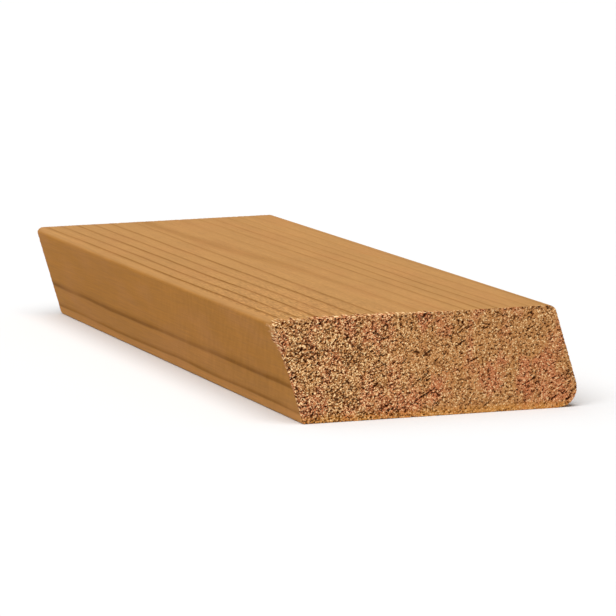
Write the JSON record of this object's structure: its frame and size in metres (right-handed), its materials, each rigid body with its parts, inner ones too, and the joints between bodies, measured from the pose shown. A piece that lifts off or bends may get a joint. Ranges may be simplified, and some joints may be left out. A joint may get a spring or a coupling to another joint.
{
  "type": "rhombus cladding board",
  "caption": "Planed softwood cladding board of rhombus section: both long edges slant the same way to shed rain, and all arrises are rounded.",
  "frame": {"origin": "middle of the board's footprint, on the surface that its back face lies on", "axes": "+X along the board towards the end nearest the camera in the picture, +Y across the board towards the edge whose foot stands out, +Z through the thickness from the back face to the front face"},
  "size_m": [0.2, 0.06, 0.02],
  "materials": {
    "softwood": "bare planed faces and edges, rough sawn ends"
  },
  "bodies": {
    "root": {"rhombus_board": "softwood"}
  },
  "joints": []
}
